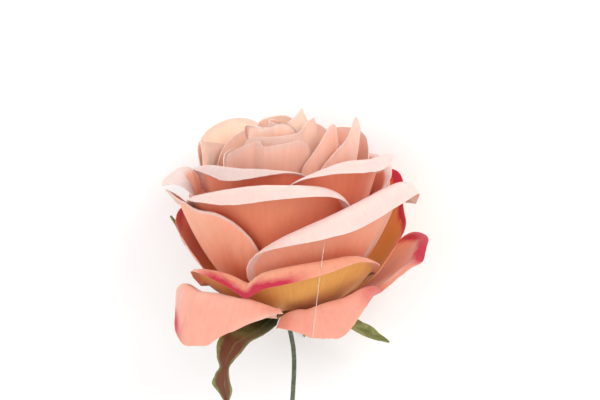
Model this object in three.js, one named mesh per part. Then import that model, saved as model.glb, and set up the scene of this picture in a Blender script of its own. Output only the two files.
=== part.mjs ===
// An artificial rose lying on a table: cloth petals glued round a foam bud, a cloth calyx, a wire stem.
// Lengths are millimetres and angles are degrees. The flower is drawn in its own frame: X across, Y along its
// axis towards its top, Z towards the side that faces up. It is laid down at the end.
import * as THREE from "three";

const radians = THREE.MathUtils.degToRad;
const lerp = THREE.MathUtils.lerp;

// ---- Driving dimensions ----
const BLOOM_RADIUS = 50; // radius that the cup shares below are shares of
const BLOOM_HEIGHT = 80; // height of the bud's tip above the lowest petals' feet
const PETAL_THICKNESS = 0.35;
const STEM_LENGTH = 150; // from the calyx to the cut end
const WIRE_DIAMETER = 1.7;
const SEPAL_THICKNESS = 0.35;
const SEPAL_CAMBER = 0.25; // rise of a sepal's two edges, as a share of its half width
const SEPAL_ROWS = 12;
const CORE_FOOT = 1.2; // height of the foam bud's foot
const WIRE_GRIP = 12; // how far the wire is pushed into the foam
const FOOT_SPAN = 26; // half the angle that most petals' feet take round the core

// Nested cups, from the bud (1) to the lowest guard petals (11). Each is a cubic curve from the foot to
// the rim, as [radius, height] in shares of the bloom's radius and height.
const CUPS = {
  1: [[0.16, 0.225], [0.2, 0.33], [0.2, 0.7], [0.13, 0.99]],
  2: [[0.152, 0.2], [0.26, 0.27], [0.3, 0.66], [0.24, 0.985]],
  3: [[0.144, 0.178], [0.32, 0.23], [0.4, 0.6], [0.37, 0.94]],
  4: [[0.136, 0.155], [0.37, 0.19], [0.48, 0.55], [0.52, 0.9]],
  5: [[0.128, 0.135], [0.41, 0.165], [0.54, 0.52], [0.64, 0.85]],
  6: [[0.12, 0.115], [0.44, 0.14], [0.59, 0.48], [0.73, 0.8]],
  7: [[0.112, 0.098], [0.46, 0.115], [0.63, 0.45], [0.79, 0.76]],
  8: [[0.104, 0.08], [0.49, 0.09], [0.68, 0.42], [0.86, 0.72]],
  9: [[0.092, 0.06], [0.5, 0.08], [0.76, 0.22], [0.86, 0.5]],
  10: [[0.08, 0.0425], [0.45, 0.05], [0.8, 0.19], [1.02, 0.36]],
  11: [[0.068, 0.0275], [0.33, 0.01], [0.58, 0.12], [0.74, 0.2]],
};

// The foam bud's outline, from its foot up: [radius, height].
const CORE_PROFILE = [[2.4, 1.2], [3.4, 5], [5.2, 14], [5.4, 24], [4.8, 34], [3.4, 42], [1.5, 47], [0, 48]];

// The wire's path below its grip: [sideways, share of the stem's length below the petals].
const WIRE_PATH = [[0.2, 0], [2.6, 0.06], [3.8, 0.13], [3, 0.26], [0, 0.6], [-3, 1]];

// Sepals: path is [radius, height] in shares of the bloom's; width gives the full width at equal steps from
// the foot to the tip.
const SEPALS = [
  { name: "sepal_front_left", az: -42, sway: 0,
    path: [[0.06, 0.0025], [0.28, -0.0312], [0.52, -0.05], [0.64, -0.125], [0.66, -0.225], [0.62, -0.35]],
    width: [3, 14, 15, 12, 4.5, 10, 0.6] },
  { name: "sepal_right", az: 100, sway: 0,
    path: [[0.06, 0.0025], [0.24, -0.0312], [0.48, -0.075], [0.66, -0.1375], [0.8, -0.1875]],
    width: [3, 9, 7, 5, 0.6] },
  { name: "sepal_left", az: -125, sway: 0,
    path: [[0.06, 0.0025], [0.28, -0.0187], [0.5, 0.0187], [0.69, 0.1125], [0.88, 0.225], [1.04, 0.3375]],
    width: [3, 10, 9, 6, 4, 0.6] },
  { name: "sepal_front_right", az: 28, sway: 0,
    path: [[0.06, 0.0025], [0.2, -0.0187], [0.36, -0.0187], [0.5, 0.0125]],
    width: [3, 9, 7, 0.6] },
  { name: "sepal_back", az: 172, sway: -3,
    path: [[0.06, 0.0025], [0.24, -0.0312], [0.44, -0.0875], [0.6, -0.175], [0.68, -0.2875]],
    width: [3, 10, 8, 4, 0.6] },
];

const GREEN = { color: 0x5b6b3a, roughness: 0.7 };
const FOAM = { color: 0xf1ede2, roughness: 0.9 };
const PEACH = { color: 0xeea38c, roughness: 0.75 };
const GUARD = { color: 0xd98f52, roughness: 0.75 };

// A plain round edge, as far to each side of the petal's middle as span says.
function roundRim(span, low, top) {
  const steps = [-1, -0.85, -0.5, 0, 0.5, 0.85, 1];
  return steps.map((t) => [span * t, lerp(low, top, Math.sqrt(1 - t * t))]);
}

// ---- Petals, from the bud outwards ----
// az: where the petal's middle stands round the flower, 0 at the front, positive to the right
// order: the cup it lies on; twist: how much its order grows over 60 degrees to the right
// rim: its edge, or the start of its roll, from left to right, as [turn from az, share of the cup]
// curl: radius of the rolled rim; roll: the angle it turns through at the left, middle and right
// tail: straight width past the roll at the left, middle and right
// foot: half the angle that its foot takes round the flower
const PETALS = [
  { name: "petal_bud_heart", az: -30, order: 0.7, twist: 0.1, rim: roundRim(140, 0.9, 0.94) },
  { name: "petal_bud_flap", az: 30, order: 1.25, twist: 0.1,
    rim: [[-75, 0.8], [-50, 0.88], [-30, 0.95], [-10, 0.985], [10, 1.01], [28, 1.03], [45, 1],
      [62, 0.93], [80, 0.8]] },
  { name: "petal_bud_wrap_left", az: 200, order: 1.55, rim: roundRim(95, 0.8, 0.93) },
  { name: "petal_bud_wrap_front", az: -35, order: 1.95,
    rim: [[-68, 0.84], [-45, 0.92], [0, 0.96], [40, 0.99], [65, 0.9], [80, 0.7]], curl: 1.2,
    roll: [120, 0, 0], tail: [0, 0, 0] },
  { name: "petal_inner_front_right", az: 5, order: 2.6,
    rim: [[-78, 0.75], [-58, 0.93], [-10, 0.975], [15, 0.99], [33, 1.03], [44, 1.02], [50, 0.8]] },
  { name: "petal_inner_right", az: 90, order: 3, rim: roundRim(50, 0.7, 0.96) },
  { name: "petal_inner_back", az: 155, order: 3.4, rim: roundRim(55, 0.65, 0.93) },
  { name: "petal_inner_front", az: -20, order: 3.3,
    rim: [[-82, 0.7], [-62, 0.84], [-30, 0.94], [-7, 0.985], [0, 0.97], [22, 0.99], [46, 0.97],
      [58, 0.7]] },
  { name: "petal_inner_left", az: -115, order: 3.6, rim: roundRim(50, 0.65, 0.84) },
  { name: "petal_mid_front_right", az: 40, order: 3.75,
    rim: [[-27, 0.6], [-24, 0.86], [-16, 0.95], [-4, 1.03], [7, 1.08], [13, 1.01], [17, 0.7]] },
  { name: "petal_mid_right", az: 83, order: 4.3,
    rim: [[-60, 0.7], [-55, 0.9], [-30, 1.04], [-18, 1.12], [2, 1.03], [30, 0.96], [52, 0.75]] },
  { name: "petal_mid_left", az: -125, order: 4.95,
    rim: [[-24, 0.65], [-18, 0.83], [-4, 0.89], [12, 0.93], [26, 0.96], [33, 0.8]] },
  { name: "petal_mid_back_left", az: -150, order: 4.25, rim: roundRim(50, 0.65, 0.91) },
  { name: "petal_mid_back", az: 165, order: 4.7, rim: roundRim(52, 0.65, 0.92) },
  { name: "petal_mid_front", az: 5, order: 4.6, rim: roundRim(50, 0.6, 0.88) },
  { name: "petal_cup_front_left", az: -35, order: 5.1,
    rim: [[-53, 0.74], [-30, 0.9], [0, 0.96], [25, 0.97], [46, 0.95], [56, 0.8]], curl: 3,
    roll: [60, 130, 50], tail: [0, 3, 0] },
  { name: "petal_cup_back_right", az: 125, order: 5.3, rim: roundRim(50, 0.65, 0.98) },
  { name: "petal_cup_back_left", az: -133, order: 5.4,
    rim: [[-50, 0.75], [-30, 0.96], [-5, 1], [20, 0.96], [36, 0.86], [42, 0.7]] },
  { name: "petal_cup_right", az: 48, order: 6,
    rim: [[-52, 0.84], [-42, 0.98], [-20, 1.05], [0, 1.04], [30, 0.98], [42, 0.86]], curl: 3,
    roll: [40, 130, 60], tail: [0, 3, 1] },
  { name: "petal_cup_left", az: -84, order: 6.45,
    rim: [[-42, 0.68], [-20, 0.85], [0, 0.87], [17, 0.84], [27, 0.7]], curl: 3.2, roll: [50, 118, 20],
    tail: [1, 5.2, 0] },
  { name: "petal_cup_back", az: 165, order: 6,
    rim: roundRim(58, 0.7, 0.93), curl: 2.5, roll: [20, 100, 20], tail: [0, 1, 0] },
  { name: "petal_front", az: -16, order: 7,
    rim: [[-60, 0.62], [-53, 0.74], [-38, 0.88], [0, 1.01], [25, 1.03], [42, 0.97], [54, 0.82]], curl: 3,
    roll: [60, 140, 105], tail: [0, 3.2, 0.8] },
  { name: "petal_side_right", az: 112, order: 7,
    rim: roundRim(48, 0.65, 0.9), curl: 2.5, roll: [0, 100, 30], tail: [0, 1, 0] },
  { name: "petal_side_back_left", az: -152, order: 7.2, rim: roundRim(46, 0.6, 0.72) },
  { name: "petal_outer_right", az: 39, order: 8.45,
    rim: [[-42, 0.42], [-55, 0.6], [-50, 0.8], [-23, 1], [7, 1.1], [26, 1.09], [35, 1], [28, 0.9],
      [22, 0.78], [17, 0.62], [12, 0.45]], curl: 3.4, roll: [30, 150, 60], tail: [0, 4.5, 1], foot: 20 },
  { name: "petal_outer_left", az: -55, order: 8,
    rim: [[-47, 0.7], [-31, 0.83], [0, 0.88], [21, 0.91], [35, 0.8], [43, 0.6]], curl: 5,
    roll: [60, 0, 0], tail: [4, 0, 0] },
  { name: "petal_outer_back_left", az: -154, order: 8.3,
    rim: roundRim(46, 0.65, 0.86), curl: 3, roll: [20, 110, 20], tail: [0, 3, 0] },
  { name: "petal_outer_back_right", az: 140, order: 7.9,
    rim: roundRim(50, 0.65, 0.88), curl: 3, roll: [20, 110, 20], tail: [0, 3, 0] },
  { name: "petal_guard_front", az: 5, order: 9,
    rim: [[-58, 0.42], [-65, 0.66], [-48, 0.77], [-34, 0.78], [-23, 0.73], [-12, 0.84], [15, 0.9],
      [35, 0.88], [57, 0.68], [52, 0.5]], curl: 2.8, roll: [60, 130, 60], tail: [0, 3.2, 0], foot: 50,
    guard: true },
  { name: "petal_guard_left", az: -98, order: 8.65,
    rim: [[-38, 0.6], [-15, 0.84], [5, 0.84], [18, 0.76], [25, 0.6]], guard: true },
  { name: "petal_guard_right", az: 113, order: 9.3,
    rim: [[-45, 0.65], [-35, 0.86], [-22, 0.96], [-10, 1.02], [8, 1.17], [30, 1.05], [48, 0.7]],
    guard: true },
  { name: "petal_guard_back", az: -165, order: 9, rim: roundRim(45, 0.6, 1), guard: true },
  { name: "petal_low_right", az: 80, order: 10,
    rim: [[-26, 0.68], [-22, 0.82], [-12, 0.89], [2, 0.92], [16, 0.95], [26, 0.88], [29, 0.7]], curl: 3,
    roll: [40, 58, 20], tail: [1.5, 2, 1], guard: true },
  { name: "petal_low_back_left", az: -145, order: 10.1, rim: roundRim(31, 0.6, 1.06), guard: true },
  { name: "petal_low_back_right", az: 149, order: 10.4, rim: roundRim(30, 0.6, 1.05), guard: true },
  { name: "petal_low_left", az: -36, order: 11,
    rim: [[-30, 0.98], [-20, 1.18], [0, 1.24], [18, 1.2], [33, 1]], curl: 3, roll: [125, 105, 50],
    tail: [10.5, 17, 2], guard: true },
  { name: "petal_low_front", az: 26, order: 10.9, twist: -0.9,
    rim: [[-25, 0.85], [-18, 0.95], [0, 0.99], [15, 1], [23, 0.97]], curl: 3, roll: [60, 105, 90],
    tail: [4, 10, 1], guard: true },
];
const PLAIN_PETAL = { twist: 0, curl: 2, roll: [0, 0, 0], tail: [0, 0, 0], foot: FOOT_SPAN, guard: false };

const ACROSS = 8; // panels across a petal
const UP = 6; // panels from its foot to the start of its roll
const ROUND = 4; // panels over the roll

// Radius and height on the cup of that order; y runs from 0 at the foot to 1 at the rim, and may pass it.
function cupPoint(order, y) {
  const low = Math.min(Math.max(Math.floor(order), 1), 10);
  const share = order - low;
  const [a, b, c, d] = CUPS[low].map((point, i) => [
    lerp(point[0], CUPS[low + 1][i][0], share) * BLOOM_RADIUS,
    lerp(point[1], CUPS[low + 1][i][1], share) * BLOOM_HEIGHT,
  ]);
  const u = Math.min(y, 1);
  const past = Math.max(y - 1, 0);
  return [0, 1].map(
    (k) =>
      (1 - u) ** 3 * a[k] +
      3 * (1 - u) ** 2 * u * b[k] +
      3 * (1 - u) * u ** 2 * c[k] +
      u ** 3 * d[k] +
      3 * past * (d[k] - c[k]),
  );
}

// A value given at the left, middle and right of a petal, for t from -1 to 1.
function across([left, middle, right], t) {
  return lerp(middle, t < 0 ? left : right, THREE.MathUtils.smoothstep(Math.abs(t), 0, 1));
}

// The petal's edge as a smooth curve of [turn in sixtieths of a degree, share of the cup].
function rimCurve(petal) {
  const points = petal.rim.map(([turn, share]) => new THREE.Vector3(turn / 60, share, 0));
  return new THREE.CatmullRomCurve3(points, false, "catmullrom", 0.5);
}

// A point of the petal below its roll: t from -1 (left) to 1 (right), s from 0 (foot) to 1 (roll).
function wallPoint(petal, t, s) {
  const edge = petal.curve.getPointAt((t + 1) / 2);
  const share = edge.y * s;
  const turn = lerp(petal.foot * t, edge.x * 60, s);
  const [radius, height] = cupPoint(petal.order + (petal.twist * turn * share) / 60, share);
  const angle = radians(petal.az + turn);
  return new THREE.Vector3(radius * Math.sin(angle), height, radius * Math.cos(angle));
}

// The rolled rim: a round turn away from the flower, then a straight tail.
function rollPoint(petal, t, share) {
  const step = 0.01;
  const edge = wallPoint(petal, t, 1);
  const before = wallPoint(petal, Math.max(t - step, -1), 1);
  const after = wallPoint(petal, Math.min(t + step, 1), 1);
  const along = after.sub(before).normalize();
  const up = edge.clone().sub(wallPoint(petal, t, 1 - step));
  up.addScaledVector(along, -up.dot(along)).normalize();
  const out = new THREE.Vector3().crossVectors(along, up);
  const turn = radians(across(petal.roll, t));
  const arc = petal.curl * turn;
  const length = share * (arc + across(petal.tail, t));
  const angle = turn > 0 ? Math.min(length / petal.curl, turn) : 0;
  const rest = Math.max(length - arc, 0);
  return edge
    .addScaledVector(up, petal.curl * Math.sin(angle) + rest * Math.cos(turn))
    .addScaledVector(out, petal.curl * (1 - Math.cos(angle)) + rest * Math.sin(turn));
}

// A thin closed solid on both sides of a grid of points, given as rows from the foot to the edge.
function sheetSolid(rows, thickness) {
  const columns = rows[0].length;
  const at = (i, j) => rows[Math.min(Math.max(i, 0), rows.length - 1)][Math.min(Math.max(j, 0), columns - 1)];
  const positions = [];
  for (const face of [1, -1]) {
    rows.forEach((row, i) =>
      row.forEach((point, j) => {
        const right = at(i, j + 1).clone().sub(at(i, j - 1));
        const up = at(i + 1, j).clone().sub(at(i - 1, j));
        const out = right.cross(up).normalize();
        positions.push(point.clone().addScaledVector(out, (face * thickness) / 2));
      }),
    );
  }
  const index = [];
  const quad = (a, b, c, d) => index.push(a, b, c, a, c, d);
  const count = rows.length * columns;
  const id = (i, j, back) => back * count + i * columns + j;
  for (let i = 0; i + 1 < rows.length; i++)
    for (let j = 0; j + 1 < columns; j++) {
      quad(id(i, j, 0), id(i, j + 1, 0), id(i + 1, j + 1, 0), id(i + 1, j, 0));
      quad(id(i, j, 1), id(i + 1, j, 1), id(i + 1, j + 1, 1), id(i, j + 1, 1));
    }
  const border = [];
  for (let j = 0; j + 1 < columns; j++) border.push([0, j]);
  for (let i = 0; i + 1 < rows.length; i++) border.push([i, columns - 1]);
  for (let j = columns - 1; j > 0; j--) border.push([rows.length - 1, j]);
  for (let i = rows.length - 1; i > 0; i--) border.push([i, 0]);
  border.forEach(([i, j], k) => {
    const [ni, nj] = border[(k + 1) % border.length];
    quad(id(i, j, 0), id(i, j, 1), id(ni, nj, 1), id(ni, nj, 0));
  });
  const geometry = new THREE.BufferGeometry().setFromPoints(positions);
  geometry.setIndex(index);
  return geometry;
}

function petalGeometry(plan) {
  const petal = { ...PLAIN_PETAL, ...plan };
  petal.curve = rimCurve(petal);
  const rows = [];
  const row = (pointAt) => {
    const points = [];
    for (let j = 0; j <= ACROSS; j++) points.push(pointAt((2 * j) / ACROSS - 1));
    rows.push(points);
  };
  for (let i = 0; i <= UP; i++) row((t) => wallPoint(petal, t, i / UP));
  if (Math.max(...petal.roll, ...petal.tail) > 0)
    for (let i = 1; i <= ROUND; i++) row((t) => rollPoint(petal, t, i / ROUND));
  return sheetSolid(rows, PETAL_THICKNESS);
}

// A sepal follows a path of [radius, height] out from the wire; it curves sideways by sway at its tip.
function sepalGeometry({ az, path, width, sway }) {
  const spine = new THREE.SplineCurve(
    path.map(([radius, height]) => new THREE.Vector2(radius * BLOOM_RADIUS, height * BLOOM_HEIGHT)),
  );
  const widths = new THREE.SplineCurve(width.map((w, i) => new THREE.Vector2(i, w)));
  const angle = radians(az);
  const out = new THREE.Vector3(Math.sin(angle), 0, Math.cos(angle));
  const side = new THREE.Vector3(Math.cos(angle), 0, -Math.sin(angle));
  const rows = [];
  for (let i = 0; i <= SEPAL_ROWS; i++) {
    const s = i / SEPAL_ROWS;
    const middle = spine.getPoint(s);
    const half = widths.getPoint(s).y / 2;
    const points = [];
    for (const t of [-1, -0.5, 0, 0.5, 1]) {
      const point = out.clone().multiplyScalar(middle.x);
      point.y = middle.y + SEPAL_CAMBER * half * t * t;
      points.push(point.addScaledVector(side, t * half + sway * s * s));
    }
    rows.push(points);
  }
  return sheetSolid(rows, SEPAL_THICKNESS);
}

// The foam bud, round about the flower's axis, with a bore for the wire in its foot.
function coreGeometry() {
  const bore = WIRE_DIAMETER / 2 + 0.15;
  const profile = [
    [bore, CORE_FOOT],
    ...CORE_PROFILE,
    [0, CORE_FOOT + WIRE_GRIP + 1],
    [bore, CORE_FOOT + WIRE_GRIP + 0.3],
    [bore, CORE_FOOT],
  ].map(([radius, height]) => new THREE.Vector2(radius, height));
  return new THREE.LatheGeometry(profile, 16);
}

// The small green cup that holds the sepals on the wire.
function cupGeometry() {
  const bore = WIRE_DIAMETER / 2 + 0.75;
  const outline = [[0, -1.7], [0.6, -1.5], [1.2, -0.7], [1.2, -0.35], [0, -0.35], [0, -1.7]];
  const profile = outline.map(([wall, height]) => new THREE.Vector2(bore + wall, height));
  return new THREE.LatheGeometry(profile, 16);
}

// A wire of round section along a smooth path.
function wireGeometry() {
  const grip = new THREE.Vector3(0, CORE_FOOT + WIRE_GRIP, 0);
  const below = WIRE_PATH.map(([x, share]) => new THREE.Vector3(x, -share * STEM_LENGTH, 0));
  const path = new THREE.CatmullRomCurve3([grip, ...below]);
  const rings = 28;
  const sides = 8;
  const positions = [];
  for (let i = 0; i <= rings; i++) {
    const centre = path.getPointAt(i / rings);
    const along = path.getTangentAt(i / rings);
    const across = new THREE.Vector3(1, 0, 0).addScaledVector(along, -along.x).normalize();
    const back = new THREE.Vector3().crossVectors(along, across);
    for (let j = 0; j < sides; j++) {
      const turn = (2 * Math.PI * j) / sides;
      const point = centre.clone().addScaledVector(across, (WIRE_DIAMETER / 2) * Math.cos(turn));
      positions.push(point.addScaledVector(back, (WIRE_DIAMETER / 2) * Math.sin(turn)));
    }
  }
  const index = [];
  for (let i = 0; i < rings; i++)
    for (let j = 0; j < sides; j++) {
      const a = i * sides + j;
      const b = i * sides + ((j + 1) % sides);
      index.push(a, b, b + sides, a, b + sides, a + sides);
    }
  for (let j = 1; j + 1 < sides; j++) {
    index.push(0, j + 1, j);
    index.push(rings * sides, rings * sides + j, rings * sides + j + 1);
  }
  const geometry = new THREE.BufferGeometry().setFromPoints(positions);
  geometry.setIndex(index);
  return geometry;
}

const flower = new THREE.Group();
flower.name = "flower";
function add(name, geometry, look) {
  const mesh = new THREE.Mesh(geometry, new THREE.MeshStandardMaterial(look));
  mesh.name = name;
  flower.add(mesh);
}

add("stem_wire", wireGeometry(), GREEN);
add("bud_core", coreGeometry(), FOAM);
add("calyx_cup", cupGeometry(), GREEN);
for (const plan of SEPALS) add(plan.name, sepalGeometry(plan), GREEN);
for (const plan of PETALS) add(plan.name, petalGeometry(plan), plan.guard ? GUARD : PEACH);

// ---- Laid down: on the two low back petals and the end of the wire ----
const rose = new THREE.Group();
rose.name = "rose";
rose.add(flower);

// The lowest vertex that passes a test, in the laid-down frame.
function lowest(test) {
  let low = new THREE.Vector3(0, 0, Infinity);
  flower.updateMatrixWorld(true);
  flower.children.forEach((mesh) => {
    const position = mesh.geometry.getAttribute("position");
    for (let i = 0; i < position.count; i++) {
      const own = new THREE.Vector3().fromBufferAttribute(position, i);
      const point = own.clone().applyMatrix4(mesh.matrixWorld);
      if (test(own) && point.z < low.z) low = point;
    }
  });
  return low;
}
for (let pass = 0; pass < 12; pass++) {
  const left = lowest((p) => p.y > 0 && p.x < 0);
  const right = lowest((p) => p.y > 0 && p.x > 0);
  flower.rotation.y -= Math.atan2(left.z - right.z, right.x - left.x);
  const head = lowest((p) => p.y > 0);
  const end = lowest((p) => p.y < -0.5 * STEM_LENGTH);
  flower.rotation.x += Math.atan2(end.z - head.z, head.y - end.y);
}
const box = new THREE.Box3().setFromObject(rose, true);
flower.position.set(-(box.min.x + box.max.x) / 2, -(box.min.y + box.max.y) / 2, -box.min.z);

export default rose;
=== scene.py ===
# %% [markdown]
# # An artificial rose, lying on a table
# A cloth rose is a bench product: petals are stamped out of stiffened cloth, dyed, curled with a hot
# iron and glued one by one round a foam bud on a wire. This lesson builds it the same way. The packed
# model gives the frame: where each petal, sepal and the wire lie. Here each of them gets its real shape,
# from one tree of geometry nodes for the petals, one for the sepals and one for the wire.

# %% Load the frame
import math
import random

import bpy
import numpy as np
from mathutils import Matrix, Vector


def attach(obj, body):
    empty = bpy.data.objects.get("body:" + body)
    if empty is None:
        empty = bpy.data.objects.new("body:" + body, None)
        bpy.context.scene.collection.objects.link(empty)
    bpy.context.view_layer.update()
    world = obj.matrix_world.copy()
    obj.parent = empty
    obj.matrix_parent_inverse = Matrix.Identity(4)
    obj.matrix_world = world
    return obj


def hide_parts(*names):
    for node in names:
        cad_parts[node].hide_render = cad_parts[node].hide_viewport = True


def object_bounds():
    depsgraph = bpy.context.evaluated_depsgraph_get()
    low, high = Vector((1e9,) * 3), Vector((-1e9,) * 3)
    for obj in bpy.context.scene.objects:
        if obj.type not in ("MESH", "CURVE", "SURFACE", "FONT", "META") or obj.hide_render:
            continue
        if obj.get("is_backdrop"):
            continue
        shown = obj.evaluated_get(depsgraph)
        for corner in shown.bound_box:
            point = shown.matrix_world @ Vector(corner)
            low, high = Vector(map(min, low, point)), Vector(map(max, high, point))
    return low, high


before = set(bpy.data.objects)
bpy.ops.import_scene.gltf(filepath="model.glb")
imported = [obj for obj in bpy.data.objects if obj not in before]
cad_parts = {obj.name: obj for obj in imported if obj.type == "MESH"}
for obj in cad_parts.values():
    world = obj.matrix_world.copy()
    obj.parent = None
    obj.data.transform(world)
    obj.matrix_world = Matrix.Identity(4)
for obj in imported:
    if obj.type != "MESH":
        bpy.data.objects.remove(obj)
cad_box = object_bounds()
print("nodes:", len(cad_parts), "box:", [tuple(round(x, 4) for x in corner) for corner in cad_box])

# %% [markdown]
# ## The flower's own axes
# The rose lies tilted, with its bloom on two back petals and its wire end on the table. Petals are far
# easier to draw round an upright axis, so the lesson works in the flower's own frame: X across, Y up the
# axis to the bud's tip, Z to the side that faces up. The frame is read off two pieces. The foam bud is
# round, so the direction in which its points spread most is its axis. The wire bends only sideways, so
# what is left of its spread once the axis is taken out is X.

# %% Find the flower's axes
MM = 0.001
CORE_FOOT = 1.2  # height of the foam bud's foot above the petals' feet


def points_of(node):
    """The node's points, each counted once."""
    points = np.array([v.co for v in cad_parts[node].data.vertices])
    return np.unique(np.round(points, 6), axis=0)


def widest_direction(points):
    return np.linalg.svd(points - points.mean(0))[2][0]


core = points_of("bud_core")
wire = points_of("stem_wire")
axis = widest_direction(core)
axis = axis * np.sign(axis @ (core.mean(0) - wire.mean(0)))
across = widest_direction(wire - np.outer(wire @ axis, axis))
across = across * np.sign(across[0])
facing_up = np.cross(across, axis)
foot = core.mean(0) + axis * ((core @ axis).min() - core.mean(0) @ axis - CORE_FOOT * MM)
FLOWER = Matrix(np.column_stack([across, axis, facing_up]).tolist()).to_4x4()
FLOWER.translation = Vector(foot)
print("tilt:", round(math.degrees(math.asin(facing_up[1])), 1), "degrees; foot at", np.round(foot, 4))

# %% [markdown]
# ## The camera first
# The camera looks almost straight down at the lying rose, 20 degrees above the plane that the petals
# open in, so the bud's tip points up the picture. A long lens from far away keeps the near petals from
# swelling. Setting it first means that every later piece can be judged in place.

# %% Camera
VIEW_ABOVE_PETALS = math.radians(20)
VIEW_WIDTH = 0.223  # width of the view at the flower
VIEW_DISTANCE = 1.6
VIEW_CENTRE = (0.006, 0.0415)  # right of the flower's axis, and up the picture from the petals' feet

towards_camera = Vector((0, math.sin(VIEW_ABOVE_PETALS), math.cos(VIEW_ABOVE_PETALS)))
up_the_picture = Vector((0, math.cos(VIEW_ABOVE_PETALS), -math.sin(VIEW_ABOVE_PETALS)))
look_at = Vector((VIEW_CENTRE[0], 0, 0)) + up_the_picture * VIEW_CENTRE[1]

lens = bpy.data.cameras.new("camera")
lens.lens = lens.sensor_width * VIEW_DISTANCE / VIEW_WIDTH
camera = bpy.data.objects.new("camera", lens)
bpy.context.scene.collection.objects.link(camera)
turned = Matrix((Vector((1, 0, 0)), up_the_picture, towards_camera)).transposed().to_4x4()
turned.translation = look_at + towards_camera * VIEW_DISTANCE
camera.matrix_world = FLOWER @ turned
bpy.context.scene.camera = camera
print("lens", round(lens.lens), "mm")

# %% [markdown]
# ## Sums that read like sums
# A node tree for a petal is mostly arithmetic, and wiring a hundred Math nodes by hand is hard to read.
# This small class wraps a socket, so that `a * b + c` adds the nodes. It serves the geometry trees and
# the materials alike.

# %% A tree that adds its nodes from ordinary sums
class Sum:
    """A socket that can be added, multiplied and so on with ordinary signs."""

    def __init__(self, bench, socket):
        self.bench, self.socket = bench, socket

    def __add__(self, other):
        return self.bench.maths("ADD", self, other)

    def __sub__(self, other):
        return self.bench.maths("SUBTRACT", self, other)

    def __rsub__(self, other):
        return self.bench.maths("SUBTRACT", other, self)

    def __mul__(self, other):
        return self.bench.maths("MULTIPLY", self, other)

    def __truediv__(self, other):
        return self.bench.maths("DIVIDE", self, other)

    __radd__, __rmul__ = __add__, __mul__

    def part(self, letter):
        return Sum(self.bench, self.bench.node("ShaderNodeSeparateXYZ", self).outputs[letter])


class Bench:
    """A node tree and the words for filling it."""

    def __init__(self, tree):
        self.tree = tree

    def node(self, kind, *values, **settings):
        made = self.tree.nodes.new(kind)
        named = settings.pop("inputs", {})
        for key, value in settings.items():
            setattr(made, key, value)
        for key, value in [*enumerate(values), *named.items()]:
            self.feed(made.inputs[key], value)
        return made

    def feed(self, socket, value):
        if isinstance(value, Sum):
            value = value.socket
        if isinstance(value, bpy.types.NodeSocket):
            self.tree.links.new(value, socket)
        elif value is not None:
            socket.default_value = value

    def out(self, kind, output, *values, **settings):
        return Sum(self, self.node(kind, *values, **settings).outputs[output])

    def maths(self, operation, *values):
        vectors = [v for v in values if isinstance(v, Sum) and v.socket.type in ("VECTOR", "RGBA")]
        if vectors and operation == "MULTIPLY" and len(vectors) == 1:
            number = values[1] if values[0] is vectors[0] else values[0]
            return self.out("ShaderNodeVectorMath", 0, vectors[0], operation="SCALE", inputs={3: number})
        if vectors:
            return self.out("ShaderNodeVectorMath", 0, *values, operation=operation)
        return self.out("ShaderNodeMath", 0, *values, operation=operation)

    def vector(self, x, y, z):
        return self.out("ShaderNodeCombineXYZ", 0, x, y, z)

    def ramp(self, value, low, high, low_to=0.0, high_to=1.0):
        """A smooth step from low_to to high_to as value runs from low to high."""
        return self.out("ShaderNodeMapRange", "Result", value, low, high, low_to, high_to,
                        interpolation_type="SMOOTHSTEP")


def geometry_bench(name, inputs, output="NodeSocketGeometry"):
    """A geometry tree with named inputs: the bench, and a dictionary of them as sums."""
    tree = bpy.data.node_groups.new(name, "GeometryNodeTree")
    tree.interface.new_socket("Result", in_out="OUTPUT", socket_type=output)
    for label, start in inputs.items():
        kind = {float: "Float", int: "Int", tuple: "Vector", bpy.types.Material: "Material",
                type(None): "Geometry"}[start if isinstance(start, type) else type(start)]
        socket = tree.interface.new_socket(label, in_out="INPUT", socket_type="NodeSocket" + kind)
        if kind in ("Float", "Int", "Vector"):
            socket.default_value = start
    bench = Bench(tree)
    given = tree.nodes.new("NodeGroupInput")
    return bench, {label: Sum(bench, given.outputs[label]) for label in inputs}


def finish_tree(bench, result):
    end = bench.tree.nodes.new("NodeGroupOutput")
    bench.feed(end.inputs[0], result)
    print(bench.tree.name, "has", len(bench.tree.nodes), "nodes")
    return bench.tree


# %% [markdown]
# Three steps come back in the trees for the petals, the sepals and the wire: a smooth curve through drawn
# points, a note that is written on each point of a shape, and the ending, which gives the shape its
# material.

# %% Steps that the trees share
def smooth_line(bench, drawing, resolution=12):
    """The drawn points as a smooth curve that runs through all of them."""
    line = bench.out("GeometryNodeMeshToCurve", 0, drawing)
    line = bench.out("GeometryNodeCurveSplineType", 0, line, spline_type="CATMULL_ROM")
    return bench.out("GeometryNodeSetSplineResolution", 0, line, inputs={"Resolution": resolution})


def write_note(bench, shape, name, value, kind="FLOAT", domain="POINT"):
    return bench.out("GeometryNodeStoreNamedAttribute", 0, shape, data_type=kind, domain=domain,
                     inputs={"Name": name, "Value": value})


def write_cloth_notes(bench, grid, cloth, notes):
    """The grid with its UV map, its places on the flat cloth in mm, and the notes for the dyes."""
    noted = write_note(bench, grid.outputs["Mesh"], "UVMap", grid.outputs["UV Map"], "FLOAT2", "CORNER")
    noted = write_note(bench, noted, "cloth_mm", cloth, "FLOAT_VECTOR")
    for name, value in notes.items():
        noted = write_note(bench, noted, name, value)
    return noted


def finish_piece(bench, shape, material):
    shape = bench.out("GeometryNodeRealizeInstances", 0, shape)
    shape = bench.out("GeometryNodeSetMaterial", 0, shape, inputs={"Material": material})
    return finish_tree(bench, shape)


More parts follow.
